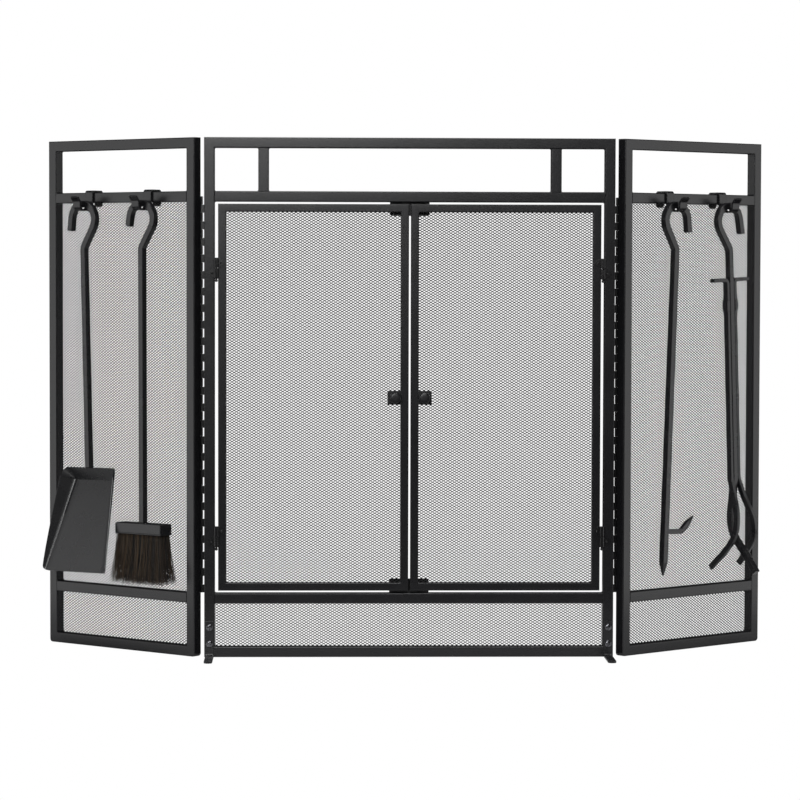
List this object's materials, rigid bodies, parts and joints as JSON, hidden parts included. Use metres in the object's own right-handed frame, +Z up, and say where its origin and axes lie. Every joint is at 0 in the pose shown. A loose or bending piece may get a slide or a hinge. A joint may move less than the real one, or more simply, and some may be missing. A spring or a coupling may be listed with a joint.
{
  "type": "folding fireplace screen",
  "caption": "Free-standing black steel fireplace screen with hinged mesh doors, folding side panels, and a shovel, brush, poker and tongs hung on hooks.",
  "frame": {"origin": "on the floor, under the middle of the centre panel's bottom rail", "axes": "+X to the right along the centre panel, seen from the front; -Y out of the front, away from the fire; +Z up"},
  "size_m": [1.1244, 0.2833, 0.785],
  "materials": {
    "frame": "satin black powder coat",
    "mesh": "black coated expanded steel",
    "tools": "satin black coat on forged steel",
    "hinges": "satin black powder coat",
    "knobs": "satin black coat",
    "screws": "blackened steel",
    "bristles": "dense dark bristle"
  },
  "bodies": {
    "centre_panel": {"centre_bottom_rail": "frame", "centre_header": "frame", "centre_hinge_leaf_left": "hinges", "centre_hinge_leaf_right": "hinges", "centre_lower_mesh": "mesh", "centre_post_left": "frame", "centre_post_right": "frame", "centre_sill": "frame", "centre_stile_left": "frame", "centre_stile_right": "frame", "centre_top_rail": "frame", "foot_left": "frame", "foot_right": "frame", "foot_screw_left_lower": "screws", "foot_screw_left_upper": "screws", "foot_screw_right_lower": "screws", "foot_screw_right_upper": "screws", "left_frame_lower_leaf": "hinges", "left_frame_upper_leaf": "hinges", "lower_door_stop": "frame", "right_frame_lower_leaf": "hinges", "right_frame_upper_leaf": "hinges", "upper_door_stop": "frame"},
    "left_door": {"left_door_frame": "frame", "left_door_lower_leaf": "hinges", "left_door_mesh": "mesh", "left_door_upper_leaf": "hinges", "left_knob": "knobs"},
    "right_door": {"right_door_frame": "frame", "right_door_lower_leaf": "hinges", "right_door_mesh": "mesh", "right_door_upper_leaf": "hinges", "right_knob": "knobs"},
    "left_panel": {"left_panel_bottom_rail": "frame", "left_panel_far_stile": "frame", "left_panel_hanging_rail": "frame", "left_panel_hinge_leaf": "hinges", "left_panel_low_rail": "frame", "left_panel_mesh": "mesh", "left_panel_near_stile": "frame", "left_panel_top_rail": "frame", "shovel_hook": "tools", "brush_hook": "tools"},
    "right_panel": {"right_panel_bottom_rail": "frame", "right_panel_far_stile": "frame", "right_panel_hanging_rail": "frame", "right_panel_hinge_leaf": "hinges", "right_panel_low_rail": "frame", "right_panel_mesh": "mesh", "right_panel_near_stile": "frame", "right_panel_top_rail": "frame", "poker_hook": "tools", "tongs_hook": "tools"},
    "shovel": {"shovel_handle": "tools", "shovel_pan": "tools"},
    "brush": {"brush_handle": "tools", "brush_bristles": "bristles"},
    "poker": {"poker": "tools"},
    "tongs": {"tongs_handle": "tools"},
    "tongs_fork": {"tongs_fork": "tools"}
  },
  "joints": [
    {"name": "left_panel_fold", "type": "hinge", "parent": "centre_panel", "child": "left_panel", "pos_m": [-0.3146, 0.0105, 0.39], "axis": [0, 0, -1], "range_deg": [-39.5, 137]},
    {"name": "right_panel_fold", "type": "hinge", "parent": "centre_panel", "child": "right_panel", "pos_m": [0.3146, 0.0105, 0.39], "axis": [0, 0, 1], "range_deg": [-39.5, 137]},
    {"name": "left_door_swing", "type": "hinge", "parent": "centre_panel", "child": "left_door", "pos_m": [-0.2915, -0.01205, 0.39], "axis": [0, 0, -1], "range_deg": [0, 120]},
    {"name": "right_door_swing", "type": "hinge", "parent": "centre_panel", "child": "right_door", "pos_m": [0.2915, -0.01205, 0.39], "axis": [0, 0, 1], "range_deg": [0, 120]},
    {"name": "shovel_lift", "type": "slide", "parent": "left_panel", "child": "shovel", "axis": [-0.318, -0.3858, 0.866], "range_m": [0, 0.1]},
    {"name": "brush_lift", "type": "slide", "parent": "left_panel", "child": "brush", "axis": [-0.2397, -0.4472, 0.8617], "range_m": [0, 0.1]},
    {"name": "poker_lift", "type": "slide", "parent": "right_panel", "child": "poker", "axis": [0.318, -0.3858, 0.866], "range_m": [0, 0.1]},
    {"name": "tongs_lift", "type": "slide", "parent": "right_panel", "child": "tongs", "axis": [0.318, -0.3858, 0.866], "range_m": [0, 0.1]},
    {"name": "tongs_open", "type": "hinge", "parent": "tongs", "child": "tongs_fork", "pos_m": [0.50265, 0.12081, 0.53212], "axis": [-0.7709, -0.6355, -0.0419], "range_deg": [0, 30]}
  ]
}
